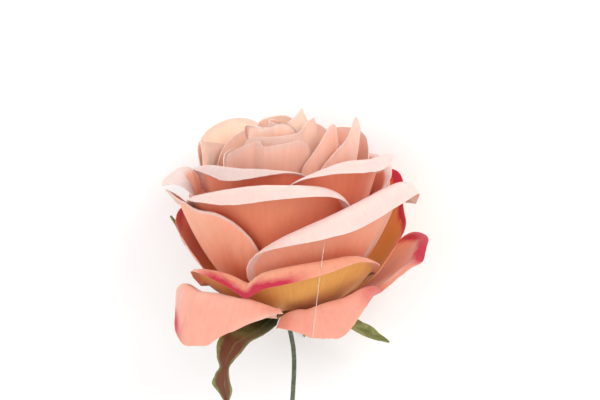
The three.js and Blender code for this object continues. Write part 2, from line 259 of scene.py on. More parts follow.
# %% [markdown]
# ## Nested cups
# Every petal lies on one of a family of nested cups, from the tight bud (1) to the flat ring of guard
# petals (11). A cup is a curve from foot to rim, turned about the axis. The orders between two cups are
# blends of them, so that each petal has a cup of its own and petals side by side stay apart. The heart of
# the bud lies just inside the first cup.

# %% The cups, as shares of the bloom's radius and height
BLOOM_RADIUS = 50
BLOOM_HEIGHT = 80
CUPS = {
    1: [(0.16, 0.225), (0.2, 0.33), (0.2, 0.7), (0.13, 0.99)],
    2: [(0.152, 0.2), (0.26, 0.27), (0.3, 0.66), (0.24, 0.985)],
    3: [(0.144, 0.178), (0.32, 0.23), (0.4, 0.6), (0.37, 0.94)],
    4: [(0.136, 0.155), (0.37, 0.19), (0.48, 0.55), (0.52, 0.9)],
    5: [(0.128, 0.135), (0.41, 0.165), (0.54, 0.52), (0.64, 0.85)],
    6: [(0.12, 0.115), (0.44, 0.14), (0.59, 0.48), (0.73, 0.8)],
    7: [(0.112, 0.098), (0.46, 0.115), (0.63, 0.45), (0.79, 0.76)],
    8: [(0.104, 0.08), (0.49, 0.09), (0.68, 0.42), (0.86, 0.72)],
    9: [(0.092, 0.06), (0.5, 0.08), (0.76, 0.22), (0.86, 0.5)],
    10: [(0.08, 0.0425), (0.45, 0.05), (0.8, 0.19), (1.02, 0.36)],
    11: [(0.068, 0.0275), (0.33, 0.01), (0.58, 0.12), (0.74, 0.2)],
}
CUP_POINTS = ["Foot", "Low handle", "High handle", "Rim"]


def cup_inputs(order):
    """The cup's four points, and how far each moves from one order to the next."""
    low = min(max(math.floor(order), 1), len(CUPS) - 1)
    scale = Vector((BLOOM_RADIUS * MM, BLOOM_HEIGHT * MM))
    values = {}
    for name, near, far in zip(CUP_POINTS, CUPS[low], CUPS[low + 1]):
        near, far = Vector(near) * scale, Vector(far) * scale
        values[name] = (*near.lerp(far, order - low), 0.0)
        values[name + " growth"] = (*(far - near), 0.0)
    return values


# %% [markdown]
# ## A point on a petal
# The petal's edge is drawn as a line on the unrolled cup: how far round, and how far up. A point of the
# petal is found from two numbers. `t` says which point of that edge line it lies below, from -1 at the
# left to 1 at the right, and `s` says how far up towards it, from 0 at the foot. The cup curve then turns
# them into a place. This sum is needed five times in the petal's tree, so it is a group of its own.

# %% The group that finds a point on a petal
EDGE_UNIT = 60.0  # degrees round the flower: one unit of a drawn edge line, and of the winding
FOOT_SPREAD = 26.0  # degrees from the middle of a petal's foot to either side of it
SHAPE_INPUTS = {"Edge": None, "Facing": 0.0, "Foot spread": FOOT_SPREAD, "Winding": 0.0}
for name in CUP_POINTS:
    SHAPE_INPUTS[name] = (0.0, 0.0, 0.0)
    SHAPE_INPUTS[name + " growth"] = (0.0, 0.0, 0.0)

bench, given = geometry_bench("point_on_petal", {**SHAPE_INPUTS, "t": 0.0, "s": 0.0}, "NodeSocketVector")
edge = bench.out("GeometryNodeSampleCurve", "Position", given["Edge"], mode="FACTOR",
                 inputs={"Factor": given["t"] * 0.5 + 0.5})
share = edge.part("Y") * given["s"]
turn_at_foot = given["Foot spread"] * given["t"]
turn = turn_at_foot + (edge.part("X") * EDGE_UNIT - turn_at_foot) * given["s"]
grown = given["Winding"] * turn * share / EDGE_UNIT
a, b, c, d = [given[name] + given[name + " growth"] * grown for name in CUP_POINTS]
u = bench.maths("MINIMUM", share, 1.0)
past = bench.maths("MAXIMUM", share - 1.0, 0.0)
rest = 1.0 - u
cup = a * (rest * rest * rest) + b * (rest * rest * u * 3.0) + c * (rest * u * u * 3.0) + d * (u * u * u)
cup = cup + (d - c) * (past * 3.0)
angle = (given["Facing"] + turn) * math.radians(1)
radius = cup.part("X")
x, z = radius * bench.maths("SINE", angle), radius * bench.maths("COSINE", angle)
place = bench.vector(x, cup.part("Y"), z)
POINT_ON_PETAL = finish_tree(bench, place)

# %% [markdown]
# ## The tree that cuts and curls a petal
# On the bench a petal is cut, its rim is rolled over a hot rod and its middle is pressed with a hot ball.
# The tree does the same with a grid. Its lower rows climb the cup. Its upper rows roll outwards round a
# rod (the Curl), turn through the Roll angle and run on straight for the Tail. Cloth never stays smooth:
# a slow noise bends the wall, a crease can be ironed in, and another noise makes the cut edge ragged.
# The tree also writes down how far each point is from the foot and from the edge, for the dyes later.

# %% Inputs of the petal tree
PETAL_INPUTS = {
    **SHAPE_INPUTS,
    "Material": bpy.types.Material,
    "Columns": 41,
    "Rows": 45,
    "Wall share": 1.0,
    "Curl": 0.002,
    "Roll": (0.0, 0.0, 0.0),
    "Tail": (0.0, 0.0, 0.0),
    "Wave": 0.0008,
    "Waves": 3.0,
    "Ragged": 0.0006,
    "Crumple": 0.0006,
    "Crease place": 0.0,
    "Crease depth": 0.0,
    "Crease width": 0.25,
    "Length": 0.05,
    "Seed": 0.0,
    "Tone": 0.0,
    "Dye": 0.0,
    "Patch": 1.0,
    "Patch place": 0.0,
    "Patch width": 3.0,
    "Patch reach": 5.5,
}
bench, given = geometry_bench("cloth_petal", PETAL_INPUTS)

# %% The grid and its two numbers
line = smooth_line(bench, given["Edge"])
grid = bench.node("GeometryNodeMeshGrid", 2.0, 1.0, given["Columns"], given["Rows"])
place = Sum(bench, bench.node("GeometryNodeInputPosition").outputs[0])
t = place.part("X")
v = place.part("Y") + 0.5
wall = given["Wall share"]
s = bench.maths("MINIMUM", v / wall, 1.0)
# The 1.0001 keeps a petal that is wall to its rim from dividing by nothing.
q = bench.maths("MAXIMUM", (v - wall) / (1.0001 - wall), 0.0)


def point_at(t, s):
    shape = {name: given[name] for name in SHAPE_INPUTS}
    shape["Edge"] = line
    group = bench.node("GeometryNodeGroup", node_tree=POINT_ON_PETAL, inputs={**shape, "t": t, "s": s})
    return Sum(bench, group.outputs[0])


# %% Which way is along, up and out at the edge
STEP = 0.01
step_left = bench.maths("MAXIMUM", t - STEP, -1.0)
step_right = bench.maths("MINIMUM", t + STEP, 1.0)
run = point_at(step_right, 1.0) - point_at(step_left, 1.0)
along = bench.maths("NORMALIZE", run)
edge = point_at(t, 1.0)
climb = edge - point_at(t, 1.0 - STEP)
dot = bench.out("ShaderNodeVectorMath", "Value", climb, along, operation="DOT_PRODUCT")
up = bench.maths("NORMALIZE", climb - along * dot)
out = bench.maths("CROSS_PRODUCT", along, up)

# %% The roll and the tail
def across_petal(three):
    """A value given at the left, middle and right, at this t."""
    share = bench.ramp(bench.maths("ABSOLUTE", t), 0.0, 1.0)
    is_left = bench.maths("LESS_THAN", t, 0.0)
    side = three.part("X") * is_left + three.part("Z") * (1.0 - is_left)
    return three.part("Y") * (1.0 - share) + side * share


def noise_at(where, scale, detail=2.0, roughness=0.5):
    """A noise from -1 to 1 that the petal's seed moves."""
    spot = bench.out("ShaderNodeTexNoise", 0, where, noise_dimensions="4D",
                     inputs={"W": given["Seed"], "Scale": scale, "Detail": detail, "Roughness": roughness})
    return spot * 2.0 - 1.0


edge_slow = noise_at(bench.vector(t * 2.0, 3.0, 0.0), 1.1, 1.0)
edge_fine = noise_at(bench.vector(t * 2.0, 0.0, 0.0), 4.0, 3.0, 0.6)
angle = across_petal(given["Roll"]) * math.radians(1)
plain_tail = across_petal(given["Tail"])
frayed = edge_fine * given["Ragged"] * bench.ramp(plain_tail, 0.0, 0.002)
tail = bench.maths("MAXIMUM", plain_tail * (1.0 + edge_slow * 0.3) + frayed, 0.0)
arc = given["Curl"] * angle
length = q * (arc + tail)
turned = bench.maths("MINIMUM", length / given["Curl"], angle)
straight = bench.maths("MAXIMUM", length - arc, 0.0)
sine, cosine = bench.maths("SINE", turned), bench.maths("COSINE", turned)
roll_up = given["Curl"] * sine + straight * cosine
roll_out = given["Curl"] * (1.0 - cosine) + straight * sine

# %% Waves, creases and crumples
flat = bench.vector(t * 1.4, v, 0.0)
phase = t * given["Waves"] * math.pi + given["Seed"]
wave = bench.maths("SINE", phase) * given["Wave"] * bench.ramp(v, 0.35, 1.0)
slow = noise_at(flat, 2.2, 1.0) * given["Crumple"] * bench.ramp(v, 0.15, 0.8)
fine = noise_at(flat, 9.0, 2.0) * given["Crumple"] * 0.22 * bench.ramp(v, 0.1, 0.5)
gap = bench.maths("ABSOLUTE", t - given["Crease place"] - noise_at(flat, 1.5) * 0.04)
crease = given["Crease depth"] * bench.maths("MAXIMUM", 1.0 - gap / given["Crease width"], 0.0)
crease = crease * bench.ramp(v, 0.2, 0.75)
shaped = point_at(t, s) + up * roll_up + out * (roll_out + wave + slow + fine + crease)

# %% Notes for the dyes
half_width = bench.out("ShaderNodeVectorMath", "Value", run, operation="LENGTH") / (2 * STEP)
from_side = (1.0 - bench.maths("ABSOLUTE", t)) * half_width * (0.35 + s * 0.65)
off_patch = bench.maths("ABSOLUTE", t - given["Patch place"]) / given["Patch width"]
from_rim = (1.0 - s) * given["Length"] + (1.0 - q) * (arc + tail)
notes = {
    "from_foot": v,
    "from_edge": bench.maths("MINIMUM", from_side, from_rim) * 1000.0,
    "tone": given["Tone"],
    "dye": given["Dye"],
    "patch": given["Patch"] * bench.ramp(off_patch, 1.0, 0.4),
    "reach": given["Patch reach"],
    "rolled": bench.maths("MINIMUM", q * (arc + tail) * 500.0, 1.0),
}
# They belong to the grid before it is bent, because a sum on a place reads the place as it is now.
cloth = bench.vector(t * half_width * 1000.0, v * given["Length"] * 1000.0, given["Seed"])
noted = write_cloth_notes(bench, grid, cloth, notes)
petal = bench.out("GeometryNodeSetPosition", 0, noted, inputs={"Position": shaped})
CLOTH_PETAL = finish_piece(bench, petal, given["Material"])

# %% [markdown]
# ## Dyed cloth
# The petals are a fine woven cloth, stiffened with size and dyed by dipping: coral in the middle, and
# bleached almost white where the rim was rolled. Towards the foot the coral is darker, and that is painted
# shade, for the shade deep in the cup and under the rolled rims. A dye follows the petal and not the room,
# so the colour comes from the notes that the tree wrote: how far from the foot, how far from the edge.
# Noise breaks up the borders, because dye creeps along the threads. The weave is a fine bump, and a sheen
# gives the soft edge light that cloth has.

# %% Words for dyes
def cloth_bench(name, roughness, sheen, sheen_tint):
    material = bpy.data.materials.new(name)
    material.use_nodes = True
    shader = material.node_tree.nodes["Principled BSDF"]
    shader.inputs["Roughness"].default_value = roughness
    shader.inputs["Specular IOR Level"].default_value = 0.25
    shader.inputs["Sheen Weight"].default_value = sheen
    shader.inputs["Sheen Roughness"].default_value = 0.4
    shader.inputs["Sheen Tint"].default_value = (*sheen_tint, 1.0)
    return material, Bench(material.node_tree), shader


def read_notes(bench, *names):
    """The place on the flat cloth in mm, and the notes of these names."""
    where = bench.out("ShaderNodeAttribute", "Vector", attribute_name="cloth_mm")
    return where, *[note(bench, name) for name in names]


def note(bench, name):
    return bench.out("ShaderNodeAttribute", "Fac", attribute_name=name)


def blend(bench, share, start, end):
    """A colour that runs from start to end."""
    made = bench.node("ShaderNodeMix", share, data_type="RGBA")
    for socket, colour in ((made.inputs[6], start), (made.inputs[7], end)):
        bench.feed(socket, colour if isinstance(colour, Sum) else (*colour, 1.0))
    return Sum(bench, made.outputs[2])


def cloudy(bench, where, scale, detail=3.0):
    return bench.out("ShaderNodeTexNoise", 0, where, inputs={"Scale": scale, "Detail": detail})


def streaks(bench, where):
    """Faint streaks along the threads, around zero."""
    stretched = bench.vector(where.part("X") * 0.9, where.part("Y") * 0.06, where.part("Z"))
    return cloudy(bench, stretched, 1.0) - 0.5


def raise_surface(bench, shader, height, strength, depth):
    """Makes the light fall as if the surface rose and fell by about depth millimetres."""
    bump = bench.node("ShaderNodeBump",
                      inputs={"Strength": strength, "Distance": depth * MM, "Height": height})
    bench.feed(shader.inputs["Normal"], bump.outputs[0])


def woven(bench, shader, where, pitch=0.5, depth=0.06):
    """A plain weave and the slight unevenness of sized cloth, as bump: sizes in millimetres."""
    turns = 2 * math.pi / pitch
    warp = bench.maths("SINE", where.part("X") * turns)
    weft = bench.maths("SINE", where.part("Y") * turns)
    height = warp * weft * 0.5 + cloudy(bench, where, 0.6) * 2.5 + cloudy(bench, where, 2.5) * 0.8
    raise_surface(bench, shader, height, 0.35, depth)


def finish_petal_cloth(bench, shader, where, body, shade):
    """Colour, weave, and the light that a thin petal lets through."""
    bench.feed(shader.inputs["Base Color"], body * shade)
    woven(bench, shader, where)
    shader.inputs["Subsurface Weight"].default_value = 0.5
    shader.inputs["Subsurface Radius"].default_value = (1.0, 0.45, 0.3)
    shader.inputs["Subsurface Scale"].default_value = 1.5 * MM


# %% Coral cloth with bleached rims and painted shade at the feet
CORAL_SHADE = (0.72, 0.17, 0.075)
CORAL = (0.83, 0.29, 0.175)
CORAL_LIGHT = (0.86, 0.44, 0.345)
PEACH = (0.92, 0.65, 0.54)
BLEACHED = (0.72, 0.54, 0.505)
BLEACH_REACH = 1.5  # millimetres in from the edge

petal_cloth, bench, shader = cloth_bench("petal_cloth", 0.72, 0.25, (1.0, 0.86, 0.8))
where, from_foot, from_edge, rolled = read_notes(bench, "from_foot", "from_edge", "rolled")
tone, dye = note(bench, "tone"), note(bench, "dye")
creep = cloudy(bench, where, 0.09) - 0.5
mottle = cloudy(bench, where, 0.35, 5.0) - 0.5
depth = from_foot + creep * 0.25
# Painted shade: the coral turns darker towards the foot, for the shade deep in the cup and under the rolled
# rims.
body = blend(bench, bench.ramp(depth, 0.3, 0.75), CORAL_SHADE, CORAL)
body = blend(bench, bench.ramp(depth, 0.7, 1.0), body, CORAL_LIGHT)
rim = bench.ramp(from_edge / BLEACH_REACH + creep * 0.8 + mottle * 0.25, 1.0, 0.25)
rim = rim * bench.ramp(depth, 0.35, 0.7) * 0.55
rim = bench.maths("MAXIMUM", rim, bench.ramp(rolled + creep * 0.6, 0.15, 0.9) * 0.96)
# Painted shade: a dye below 0 lays the same darker coral over the whole petal.
body = blend(bench, bench.maths("MAXIMUM", dye * -1.0, 0.0), body, CORAL_SHADE)
body = blend(bench, bench.maths("MAXIMUM", dye, 0.0) * bench.ramp(depth, 0.3, 0.85), body, PEACH)
body = blend(bench, rim, body, BLEACHED)
shade = 1.0 + mottle * 0.12 + streaks(bench, where) * 0.14 + tone * 0.1
finish_petal_cloth(bench, shader, where, body, shade)

# %% [markdown]
# ## The guard petals' three dyes
# The outermost petals are dipped three times: their feet in ochre, their middles in salmon and their
# edges in magenta. How far the ochre reaches is a note of each petal's own, because no dip is the same.
# The ochre is darker at the very foot, and that is painted shade, where the petal goes down between the
# others. Past the ochre the salmon fades in large soft clouds, and the magenta is blotchy.

# %% Ochre, salmon and magenta cloth
OCHRE_SHADE = (0.58, 0.25, 0.045)
OCHRE = (0.88, 0.40, 0.10)
SALMON = (0.74, 0.345, 0.265)
FADED = (0.72, 0.49, 0.40)
MAGENTA = (0.47, 0.025, 0.06)

guard_cloth, bench, shader = cloth_bench("guard_cloth", 0.7, 0.25, (1.0, 0.85, 0.8))
where, from_foot, from_edge, rolled = read_notes(bench, "from_foot", "from_edge", "rolled")
tone, dye, patch, reach = [note(bench, name) for name in ("tone", "dye", "patch", "reach")]
creep = cloudy(bench, where, 0.08) - 0.5
mottle = cloudy(bench, where, 0.3, 5.0) - 0.5
depth = from_foot + creep * 0.3
# Painted shade: the ochre is darker at the foot, where the petal goes down between the others.
body = blend(bench, bench.ramp(depth, 0.1, 0.5), OCHRE_SHADE, OCHRE)
body = blend(bench, bench.ramp(depth - dye, -0.12, 0.22), body, SALMON)
body = blend(bench, rolled * 0.8, body, SALMON)
edge = bench.ramp(from_edge / reach + creep * 1.1 + mottle * 0.4, 1.0, 0.1)
clouds = bench.ramp(cloudy(bench, where, 0.045), 0.42, 0.66)
body = blend(bench, clouds * bench.ramp(depth - dye, 0.1, 0.4) * 0.7, body, FADED)
blotch = 0.75 + cloudy(bench, where, 0.5) * 0.5
body = blend(bench, bench.maths("MINIMUM", edge * patch * blotch, 1.0), body, MAGENTA)
shade = 1.0 + mottle * 0.16 + streaks(bench, where) * 0.2 + tone * 0.1
finish_petal_cloth(bench, shader, where, body, shade)
print("petal dyes:", petal_cloth.name, guard_cloth.name)

# %% [markdown]
# ## The petals, one by one
# Each petal is a line of the list: where it stands round the flower in degrees from the side that faces
# up, the order of the cup it lies on, and its rim as pairs of degrees from its middle and share of the
# way up the cup. Curl and tail are in millimetres and roll is in degrees; roll and tail are given at the
# left, in the middle and at the right. Winding is how many cups a petal gains in 60 degrees to the right,
# foot is how far its foot spreads, and a crease has a place, a depth and a width.
#
# The rest is for the colours. On coral petals, dye turns the upper part to peach, and below 0 it lays
# painted shade over the whole petal. On guard petals it says how far up the ochre reaches. Tone makes a
# petal lighter or darker and is drawn at random where the list doesn't give it; the right guard petal's
# tone of 3.5 is painted light, for the light that shines on it and through its cloth. Patch is the magenta
# edge: its strength, its middle, its width and how many millimetres it reaches in.

# %% The list of petals
def round_rim(span, low, top):
    steps = (-1, -0.85, -0.5, 0, 0.5, 0.85, 1)
    return [(span * t, low + (top - low) * math.sqrt(1 - t * t)) for t in steps]


CORAL_PETALS = [
    dict(name="petal_bud_heart", facing=-30, order=0.7, winding=0.1, dye=0.5, rim=round_rim(140, 0.9, 0.94)),
    dict(name="petal_bud_flap", facing=30, order=1.25, winding=0.1, dye=0.9,
         rim=[(-75, 0.8), (-50, 0.88), (-30, 0.95), (-10, 0.985), (10, 1.01), (28, 1.03), (45, 1), (62, 0.93),
              (80, 0.8)]),
    dict(name="petal_bud_wrap_left", facing=200, order=1.55, rim=round_rim(95, 0.8, 0.93), dye=0.9),
    dict(name="petal_bud_wrap_front", facing=-35, order=1.95, dye=0.9, curl=1.2, roll=(120, 0, 0),
         rim=[(-68, 0.84), (-45, 0.92), (0, 0.96), (40, 0.99), (65, 0.9), (80, 0.7)]),
    dict(name="petal_inner_front_right", facing=5, order=2.6, dye=0.8,
         rim=[(-78, 0.75), (-58, 0.93), (-10, 0.975), (15, 0.99), (33, 1.03), (44, 1.02), (50, 0.8)]),
    dict(name="petal_inner_right", facing=90, order=3, rim=round_rim(50, 0.7, 0.96), dye=0.6),
    dict(name="petal_inner_back", facing=155, order=3.4, dye=0.7, rim=round_rim(55, 0.65, 0.93)),
    dict(name="petal_inner_front", facing=-20, order=3.3, crease=(-0.03, -1.8, 0.12), dye=0.45,
         rim=[(-82, 0.7), (-62, 0.84), (-30, 0.94), (-7, 0.985), (0, 0.97), (22, 0.99), (46, 0.97),
              (58, 0.7)]),
    dict(name="petal_inner_left", facing=-115, order=3.6, rim=round_rim(50, 0.65, 0.84), dye=0.9),
    dict(name="petal_mid_front_right", facing=40, order=3.75, dye=0.45,
         rim=[(-27, 0.6), (-24, 0.86), (-16, 0.95), (-4, 1.03), (7, 1.08), (13, 1.01), (17, 0.7)]),
    dict(name="petal_mid_right", facing=83, order=4.3, dye=0.7,
         rim=[(-60, 0.7), (-55, 0.9), (-30, 1.04), (-18, 1.12), (2, 1.03), (30, 0.96), (52, 0.75)]),
    dict(name="petal_mid_left", facing=-125, order=4.95, dye=0.85,
         rim=[(-24, 0.65), (-18, 0.83), (-4, 0.89), (12, 0.93), (26, 0.96), (33, 0.8)]),
    dict(name="petal_mid_back_left", facing=-150, order=4.25, rim=round_rim(50, 0.65, 0.91), dye=0.6),
    dict(name="petal_mid_back", facing=165, order=4.7, rim=round_rim(52, 0.65, 0.92), dye=0.6),
    dict(name="petal_mid_front", facing=5, order=4.6, rim=round_rim(50, 0.6, 0.88), dye=0.3),
    dict(name="petal_cup_front_left", facing=-35, order=5.1, curl=3, roll=(60, 130, 50), tail=(0, 3, 0),
         rim=[(-53, 0.74), (-30, 0.9), (0, 0.96), (25, 0.97), (46, 0.95), (56, 0.8)]),
    dict(name="petal_cup_back_right", facing=125, order=5.3, rim=round_rim(50, 0.65, 0.98), dye=0.3),
    dict(name="petal_cup_back_left", facing=-133, order=5.4, dye=1.0,
         rim=[(-50, 0.75), (-30, 0.96), (-5, 1), (20, 0.96), (36, 0.86), (42, 0.7)]),
    dict(name="petal_cup_right", facing=48, order=6, curl=3, roll=(40, 130, 60), tail=(0, 3, 1),
         rim=[(-52, 0.84), (-42, 0.98), (-20, 1.05), (0, 1.04), (30, 0.98), (42, 0.86)]),
    dict(name="petal_cup_left", facing=-84, order=6.45, curl=3.2, roll=(50, 118, 20), tail=(1, 5.2, 0),
         rim=[(-42, 0.68), (-20, 0.85), (0, 0.87), (17, 0.84), (27, 0.7)], dye=0.4),
    dict(name="petal_cup_back", facing=165, order=6, curl=2.5, roll=(20, 100, 20), tail=(0, 1, 0),
         rim=round_rim(58, 0.7, 0.93)),
    dict(name="petal_front", facing=-16, order=7, curl=3, roll=(60, 140, 105), tail=(0, 3.2, 0.8), dye=-0.25,
         rim=[(-60, 0.62), (-53, 0.74), (-38, 0.88), (0, 1.01), (25, 1.03), (42, 0.97), (54, 0.82)]),
    dict(name="petal_side_right", facing=112, order=7, curl=2.5, roll=(0, 100, 30), tail=(0, 1, 0),
         rim=round_rim(48, 0.65, 0.9)),
    dict(name="petal_side_back_left", facing=-152, order=7.2, rim=round_rim(46, 0.6, 0.72)),
    dict(name="petal_outer_right", facing=39, order=8.45, curl=3.4, roll=(30, 150, 60), tail=(0, 4.5, 1),
         rim=[(-42, 0.42), (-55, 0.6), (-50, 0.8), (-23, 1), (7, 1.1), (26, 1.09), (35, 1), (28, 0.9),
              (22, 0.78), (17, 0.62), (12, 0.45)], dye=0.2, foot=20),
    dict(name="petal_outer_left", facing=-55, order=8, curl=5, roll=(60, 0, 0), tail=(4, 0, 0), dye=0.15,
         rim=[(-47, 0.7), (-31, 0.83), (0, 0.88), (21, 0.91), (35, 0.8), (43, 0.6)]),
    dict(name="petal_outer_back_left", facing=-154, order=8.3, curl=3, roll=(20, 110, 20), tail=(0, 3, 0),
         rim=round_rim(46, 0.65, 0.86)),
    dict(name="petal_outer_back_right", facing=140, order=7.9, curl=3, roll=(20, 110, 20), tail=(0, 3, 0),
         rim=round_rim(50, 0.65, 0.88)),
]
GUARD_PETALS = [
    dict(name="petal_guard_front", facing=5, order=9, curl=2.8, roll=(60, 130, 60), tail=(0, 3.2, 0),
         rim=[(-58, 0.42), (-65, 0.66), (-48, 0.77), (-34, 0.78), (-23, 0.73), (-12, 0.84), (15, 0.9),
              (35, 0.88), (57, 0.68), (52, 0.5)], dye=1.0, foot=50, patch=(1.2, -0.22, 0.45, 5)),
    dict(name="petal_guard_left", facing=-98, order=8.65, dye=0.55, patch=(0.8, -0.3, 1.1, 6),
         rim=[(-38, 0.6), (-15, 0.84), (5, 0.84), (18, 0.76), (25, 0.6)]),
    # Painted light: its tone of 3.5 brightens the whole petal, for the light that shines on it and through
    # its cloth.
    dict(name="petal_guard_right", facing=113, order=9.3, dye=1.0, tone=3.5, patch=(1.3, -0.1, 0.9, 6),
         rim=[(-45, 0.65), (-35, 0.86), (-22, 0.96), (-10, 1.02), (8, 1.17), (30, 1.05), (48, 0.7)]),
    dict(name="petal_guard_back", facing=-165, order=9, rim=round_rim(45, 0.6, 1), dye=0.6),
    dict(name="petal_low_right", facing=80, order=10, dye=0.15, patch=(1.8, 0.3, 0.8, 7),
         curl=3, roll=(40, 58, 20), tail=(1.5, 2, 1),
         rim=[(-26, 0.68), (-22, 0.82), (-12, 0.89), (2, 0.92), (16, 0.95), (26, 0.88), (29, 0.7)]),
    dict(name="petal_low_back_left", facing=-145, order=10.1, rim=round_rim(31, 0.6, 1.06), dye=0.3),
    dict(name="petal_low_back_right", facing=149, order=10.4, rim=round_rim(30, 0.6, 1.05), dye=0.3),
    dict(name="petal_low_left", facing=-36, order=11, curl=3, roll=(125, 105, 50), tail=(10.5, 17, 2),
         rim=[(-30, 0.98), (-20, 1.18), (0, 1.24), (18, 1.2), (33, 1)], dye=0.25, patch=(1.6, -1.0, 0.85, 7)),
    dict(name="petal_low_front", facing=26, order=10.9, winding=-0.9, curl=3, roll=(60, 105, 90),
         tail=(4, 10, 1), rim=[(-25, 0.85), (-18, 0.95), (0, 0.99), (15, 1), (23, 0.97)], dye=0.3,
         patch=(0.5, 1, 0.5, 12)),
]

# %% Cut, curl and place every petal
CLOTH_THICKNESS = 0.3 * MM
WAVE_HEIGHT = 0.5 * MM
CRUMPLE_HEIGHT = 0.9 * MM
WALL_SHARE = 0.72  # share of a rolled petal's rows that stay on its cup
INNER_LENGTH = 0.3375  # how long a petal's cloth is, as a share of the bloom's height,
LENGTH_GROWTH = 0.0375  # and how much longer it is from one cup to the next
collection = bpy.context.scene.collection


def set_inputs(modifier, values):
    """Sets a tree's inputs on a modifier: each by its socket's identifier."""
    for item in modifier.node_group.interface.items_tree:
        if item.item_type == "SOCKET" and item.name in values:
            modifier[item.identifier] = values[item.name]


def line_mesh(name, points):
    mesh = bpy.data.meshes.new(name)
    mesh.from_pydata(points, [(i, i + 1) for i in range(len(points) - 1)], [])
    return mesh


def made_of(name, drawing, tree, values, thickness=0.0):
    """Runs a tree on a drawn line and keeps the result as a plain mesh in the flower's place."""
    piece = bpy.data.objects.new(name, drawing)
    collection.objects.link(piece)
    nodes = piece.modifiers.new("shape", "NODES")
    nodes.node_group = tree
    set_inputs(nodes, values)
    if thickness:
        wall = piece.modifiers.new("thickness", "SOLIDIFY")
        wall.thickness = thickness
        wall.offset = 0.0
    bpy.context.view_layer.update()
    mesh = bpy.data.meshes.new_from_object(piece.evaluated_get(bpy.context.evaluated_depsgraph_get()))
    mesh.name = name
    piece.modifiers.clear()
    piece.data = mesh
    mesh.transform(FLOWER)
    mesh.set_sharp_from_angle(angle=math.radians(60))
    mesh.update()
    return piece


def make_petal(plan, number, material):
    dice = random.Random(number)
    curl = plan.get("curl", 2)
    roll = plan.get("roll", (0, 0, 0))
    tail = plan.get("tail", (0, 0, 0))
    crease = plan.get("crease", (0, 0, 0.25))
    patch = plan.get("patch", (1, 0, 3, 5.5))
    values = {
        **cup_inputs(plan["order"]),
        "Facing": float(plan["facing"]),
        "Winding": float(plan.get("winding", 0)),
        "Wall share": WALL_SHARE if max(*roll, *tail) > 0 else 1.0,
        "Curl": curl * MM,
        "Roll": tuple(float(x) for x in roll),
        "Tail": tuple(x * MM for x in tail),
        "Wave": WAVE_HEIGHT,
        "Waves": dice.uniform(1.5, 3.5),
        "Crumple": CRUMPLE_HEIGHT,
        "Crease place": float(crease[0]),
        "Crease depth": crease[1] * MM,
        "Crease width": crease[2],
        "Length": (INNER_LENGTH + LENGTH_GROWTH * plan["order"]) * BLOOM_HEIGHT * MM,
        "Seed": number * 1.7 + 0.3,
        "Tone": plan.get("tone", dice.uniform(-1, 1)),
        "Dye": float(plan.get("dye", 0)),
        "Patch": float(patch[0]),
        "Patch place": float(patch[1]),
        "Patch width": float(patch[2]),
        "Patch reach": float(patch[3]),
        "Foot spread": float(plan.get("foot", FOOT_SPREAD)),
        "Material": material,
    }
    drawing = line_mesh(plan["name"], [(turn / EDGE_UNIT, share, 0) for turn, share in plan["rim"]])
    piece = made_of(plan["name"] + "_cloth", drawing, CLOTH_PETAL, values, CLOTH_THICKNESS)
    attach(piece, "root")
    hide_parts(plan["name"])
    return piece


petals = [make_petal(plan, n, petal_cloth) for n, plan in enumerate(CORAL_PETALS)]
petals += [make_petal(plan, n + 50, guard_cloth) for n, plan in enumerate(GUARD_PETALS)]
print(len(petals), "petals,", sum(len(p.data.polygons) for p in petals), "faces")

# %% [markdown]
# ## Sepals
# A real rose's sepals are leafy; these are one stamped star of green cloth with ironed veins, painted
# brown at some tips. Each blade follows a spine out from the wire. The spine is drawn as a line whose
# points hold the radius, the height and half the width, so one smooth curve gives all three.

# %% The tree that cuts a sepal
SEPAL_INPUTS = {
    "Spine": None,
    "Material": bpy.types.Material,
    "Columns": 17,
    "Rows": 61,
    "Facing": 0.0,
    "Sway": 0.0,
    "Camber": 0.25,
    "Turn": 0.0,
    "Crumple": 0.0006,
    "Vein": 0.00035,
    "Seed": 0.0,
    "Dye": 0.0,
}
bench, given = geometry_bench("cloth_sepal", SEPAL_INPUTS)
line = smooth_line(bench, given["Spine"])
grid = bench.node("GeometryNodeMeshGrid", 2.0, 1.0, given["Columns"], given["Rows"])
place = Sum(bench, bench.node("GeometryNodeInputPosition").outputs[0])
t, s = place.part("X"), place.part("Y") + 0.5
sample = bench.node("GeometryNodeSampleCurve", line, mode="FACTOR", inputs={"Factor": s})
spine, tangent = Sum(bench, sample.outputs["Position"]), Sum(bench, sample.outputs["Tangent"])

# %% Blade, veins and edges
facing = given["Facing"] * math.radians(1)
sine, cosine = bench.maths("SINE", facing), bench.maths("COSINE", facing)
side = bench.vector(cosine, 0.0, sine * -1.0)
outward = bench.vector(sine, 0.0, cosine)
upward = bench.vector(0.0, 1.0, 0.0)
steep = bench.maths("NORMALIZE", bench.vector(tangent.part("X"), tangent.part("Y"), 0.0))
normal = upward * steep.part("X") - outward * steep.part("Y")
blade_turn = given["Turn"] * math.radians(1) * s
flat_way = side * bench.maths("COSINE", blade_turn) + normal * bench.maths("SINE", blade_turn)
raised_way = normal * bench.maths("COSINE", blade_turn) - side * bench.maths("SINE", blade_turn)

